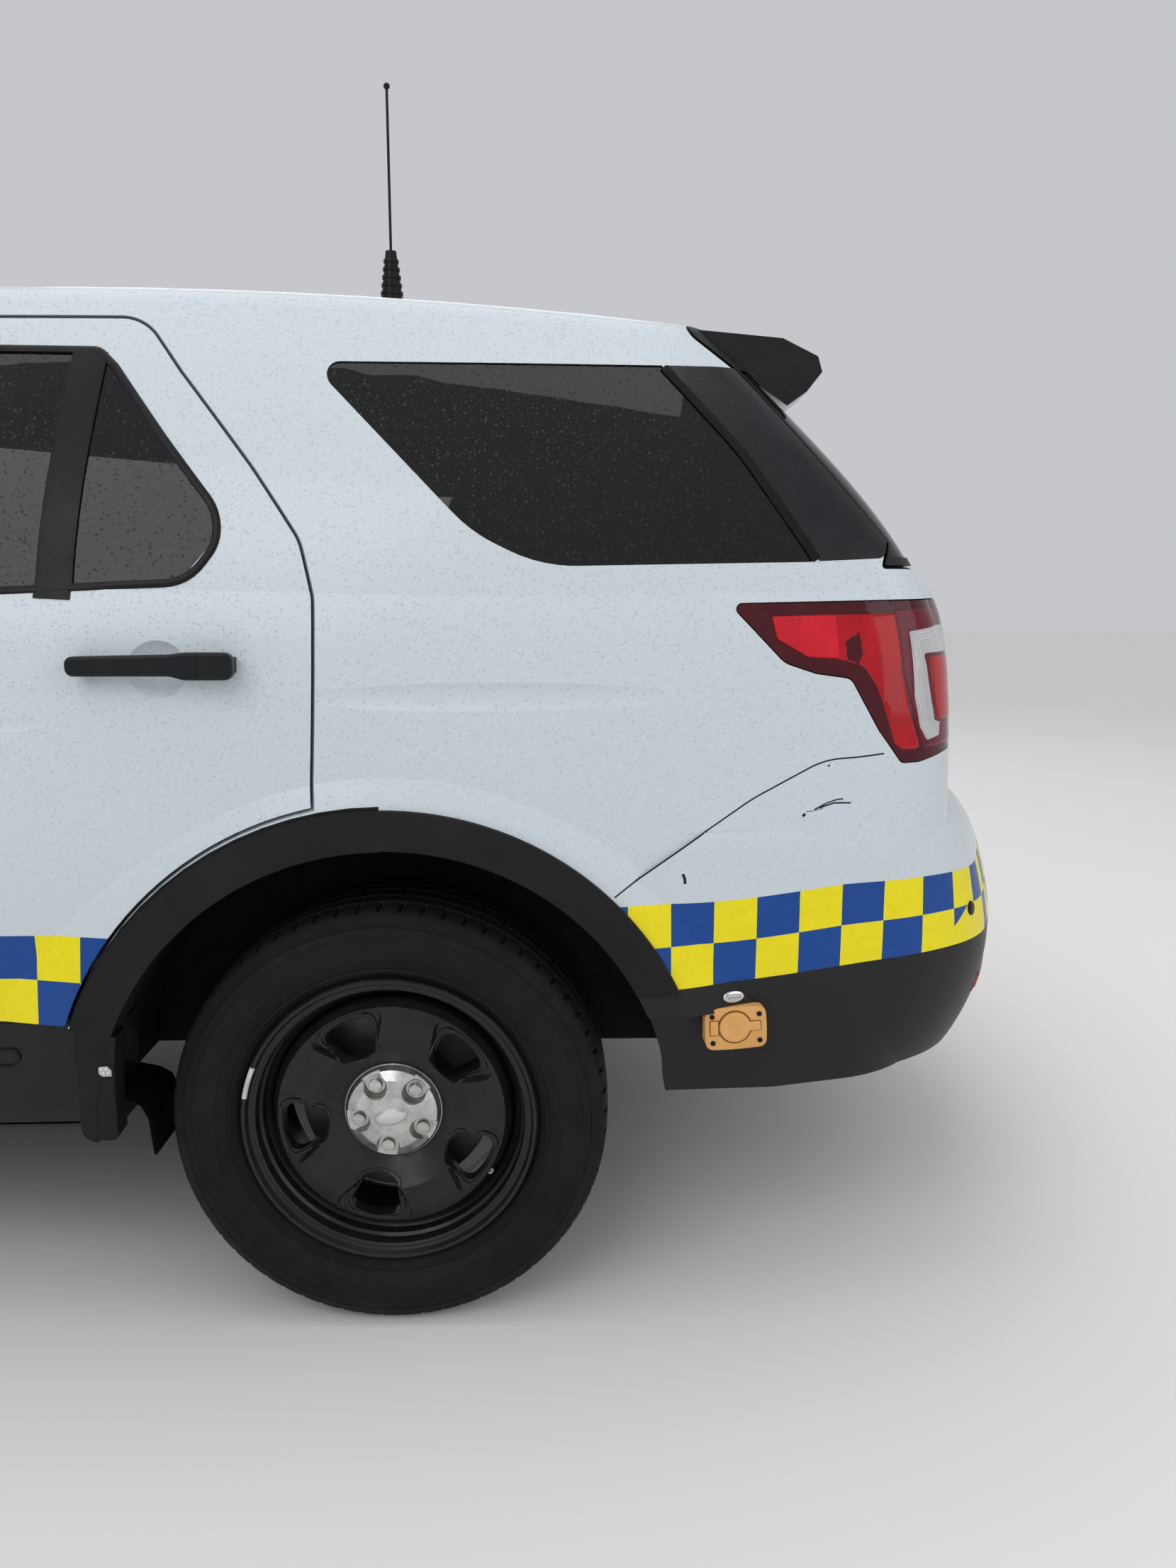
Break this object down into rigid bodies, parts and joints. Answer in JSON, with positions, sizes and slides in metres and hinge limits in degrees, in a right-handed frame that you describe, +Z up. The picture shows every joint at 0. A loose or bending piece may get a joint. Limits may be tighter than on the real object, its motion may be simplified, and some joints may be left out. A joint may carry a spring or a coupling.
{
  "type": "police patrol car",
  "caption": "Large white estate-bodied patrol car with blue and yellow chequered stripes, black steel wheels, opening doors, hood and tailgate, steering front wheels and a whip antenna.",
  "frame": {"origin": "on the ground under the middle of the overall length and width", "axes": "+X rearward (the front of the car is at -X), +Y to the car's right, +Z up"},
  "size_m": [5.0068, 2.27, 2.318],
  "materials": {
    "white_paint": "gloss white with blue and yellow squares",
    "tinted_glass": "dark tint",
    "tyre_rubber": "matt black",
    "wheel_steel": "satin black with a bright centre cap",
    "lamp_clear": "clear lens",
    "lamp_red": "red lens",
    "beacon_blue": "blue lens",
    "black_plastic": "grained black",
    "gloss_black": "gloss black",
    "engine_metal": "cast",
    "dark_steel": "underseal",
    "exhaust_steel": "heat-stained",
    "seat_fabric": "woven black",
    "inlet_orange": "faded orange"
  },
  "bodies": {
    "body": {"body_shell": "white_paint", "underbody": "dark_steel", "front_wheel_houses": "black_plastic", "front_fenders": "white_paint", "front_bumper": "white_paint", "grilles": "black_plastic", "headlamps": "lamp_clear", "tail_lamps": "lamp_red", "rear_bumper": "white_paint", "rear_valance": "black_plastic", "windscreen": "tinted_glass", "quarter_glasses": "tinted_glass", "pillar_trims": "black_plastic", "arch_trims": "black_plastic", "front_suspension": "dark_steel", "rear_suspension": "dark_steel", "engine_block": "engine_metal", "dashboard": "black_plastic", "steering_wheel": "black_plastic", "front_seats": "seat_fabric", "rear_seat": "seat_fabric", "lightbar": "beacon_blue", "whip_antenna": "black_plastic", "power_inlet": "inlet_orange", "exhaust": "exhaust_steel", "fuel_tank": "dark_steel", "radiator": "dark_steel"},
    "front_door_left": {"front_door_left": "white_paint", "front_door_glass_left": "tinted_glass", "front_door_handle_left": "black_plastic", "door_mirror_left": "gloss_black"},
    "rear_door_left": {"rear_door_left": "white_paint", "rear_door_glass_left": "tinted_glass", "rear_door_handle_left": "black_plastic"},
    "front_door_right": {"front_door_right": "white_paint", "front_door_glass_right": "tinted_glass", "front_door_handle_right": "black_plastic", "door_mirror_right": "gloss_black"},
    "rear_door_right": {"rear_door_right": "white_paint", "rear_door_glass_right": "tinted_glass", "rear_door_handle_right": "black_plastic"},
    "hood": {"hood": "white_paint"},
    "tailgate": {"tailgate": "white_paint", "tailgate_glass": "tinted_glass", "roof_spoiler": "gloss_black"},
    "front_knuckle_left": {"front_knuckle_left": "dark_steel"},
    "front_wheel_left": {"tyre_front_left": "tyre_rubber", "rim_front_left": "wheel_steel"},
    "rear_wheel_left": {"tyre_rear_left": "tyre_rubber", "rim_rear_left": "wheel_steel"},
    "front_knuckle_right": {"front_knuckle_right": "dark_steel"},
    "front_wheel_right": {"tyre_front_right": "tyre_rubber", "rim_front_right": "wheel_steel"},
    "rear_wheel_right": {"tyre_rear_right": "tyre_rubber", "rim_rear_right": "wheel_steel"}
  },
  "joints": [
    {"name": "front_door_left_hinge", "type": "hinge", "parent": "body", "child": "front_door_left", "pos_m": [-0.992, -0.988, 0.9], "axis": [0, 0, -1], "range_deg": [0, 68]},
    {"name": "rear_door_left_hinge", "type": "hinge", "parent": "body", "child": "rear_door_left", "pos_m": [0.143, -0.988, 0.9], "axis": [0, 0, -1], "range_deg": [0, 68]},
    {"name": "front_door_right_hinge", "type": "hinge", "parent": "body", "child": "front_door_right", "pos_m": [-0.992, 0.988, 0.9], "axis": [0, 0, 1], "range_deg": [0, 68]},
    {"name": "rear_door_right_hinge", "type": "hinge", "parent": "body", "child": "rear_door_right", "pos_m": [0.143, 0.988, 0.9], "axis": [0, 0, 1], "range_deg": [0, 68]},
    {"name": "hood_hinge", "type": "hinge", "parent": "body", "child": "hood", "pos_m": [-1.218, 0, 1.176], "axis": [0, 1, 0], "range_deg": [0, 55]},
    {"name": "tailgate_hinge", "type": "hinge", "parent": "body", "child": "tailgate", "pos_m": [1.801, 0, 1.727], "axis": [0, -1, 0], "range_deg": [0, 84]},
    {"name": "steer_left", "type": "hinge", "parent": "body", "child": "front_knuckle_left", "pos_m": [-1.557, -0.765, 0.2], "axis": [0, 0.2272, 0.9738], "range_deg": [-35, 35]},
    {"name": "steer_right", "type": "hinge", "parent": "body", "child": "front_knuckle_right", "pos_m": [-1.557, 0.765, 0.2], "axis": [0, -0.2272, 0.9738], "range_deg": [-35, 35]},
    {"name": "front_wheel_left_spin", "type": "hinge", "parent": "front_knuckle_left", "child": "front_wheel_left", "pos_m": [-1.557, -0.851, 0.3635], "axis": [0, 1, 0], "continuous": true},
    {"name": "rear_wheel_left_spin", "type": "hinge", "parent": "body", "child": "rear_wheel_left", "pos_m": [1.303, -0.851, 0.3635], "axis": [0, 1, 0], "continuous": true},
    {"name": "front_wheel_right_spin", "type": "hinge", "parent": "front_knuckle_right", "child": "front_wheel_right", "pos_m": [-1.557, 0.851, 0.3635], "axis": [0, 1, 0], "continuous": true},
    {"name": "rear_wheel_right_spin", "type": "hinge", "parent": "body", "child": "rear_wheel_right", "pos_m": [1.303, 0.851, 0.3635], "axis": [0, 1, 0], "continuous": true}
  ],
  "couplings": [
    {"joint": "steer_right", "follows": "steer_left", "ratio": 1}
  ]
}
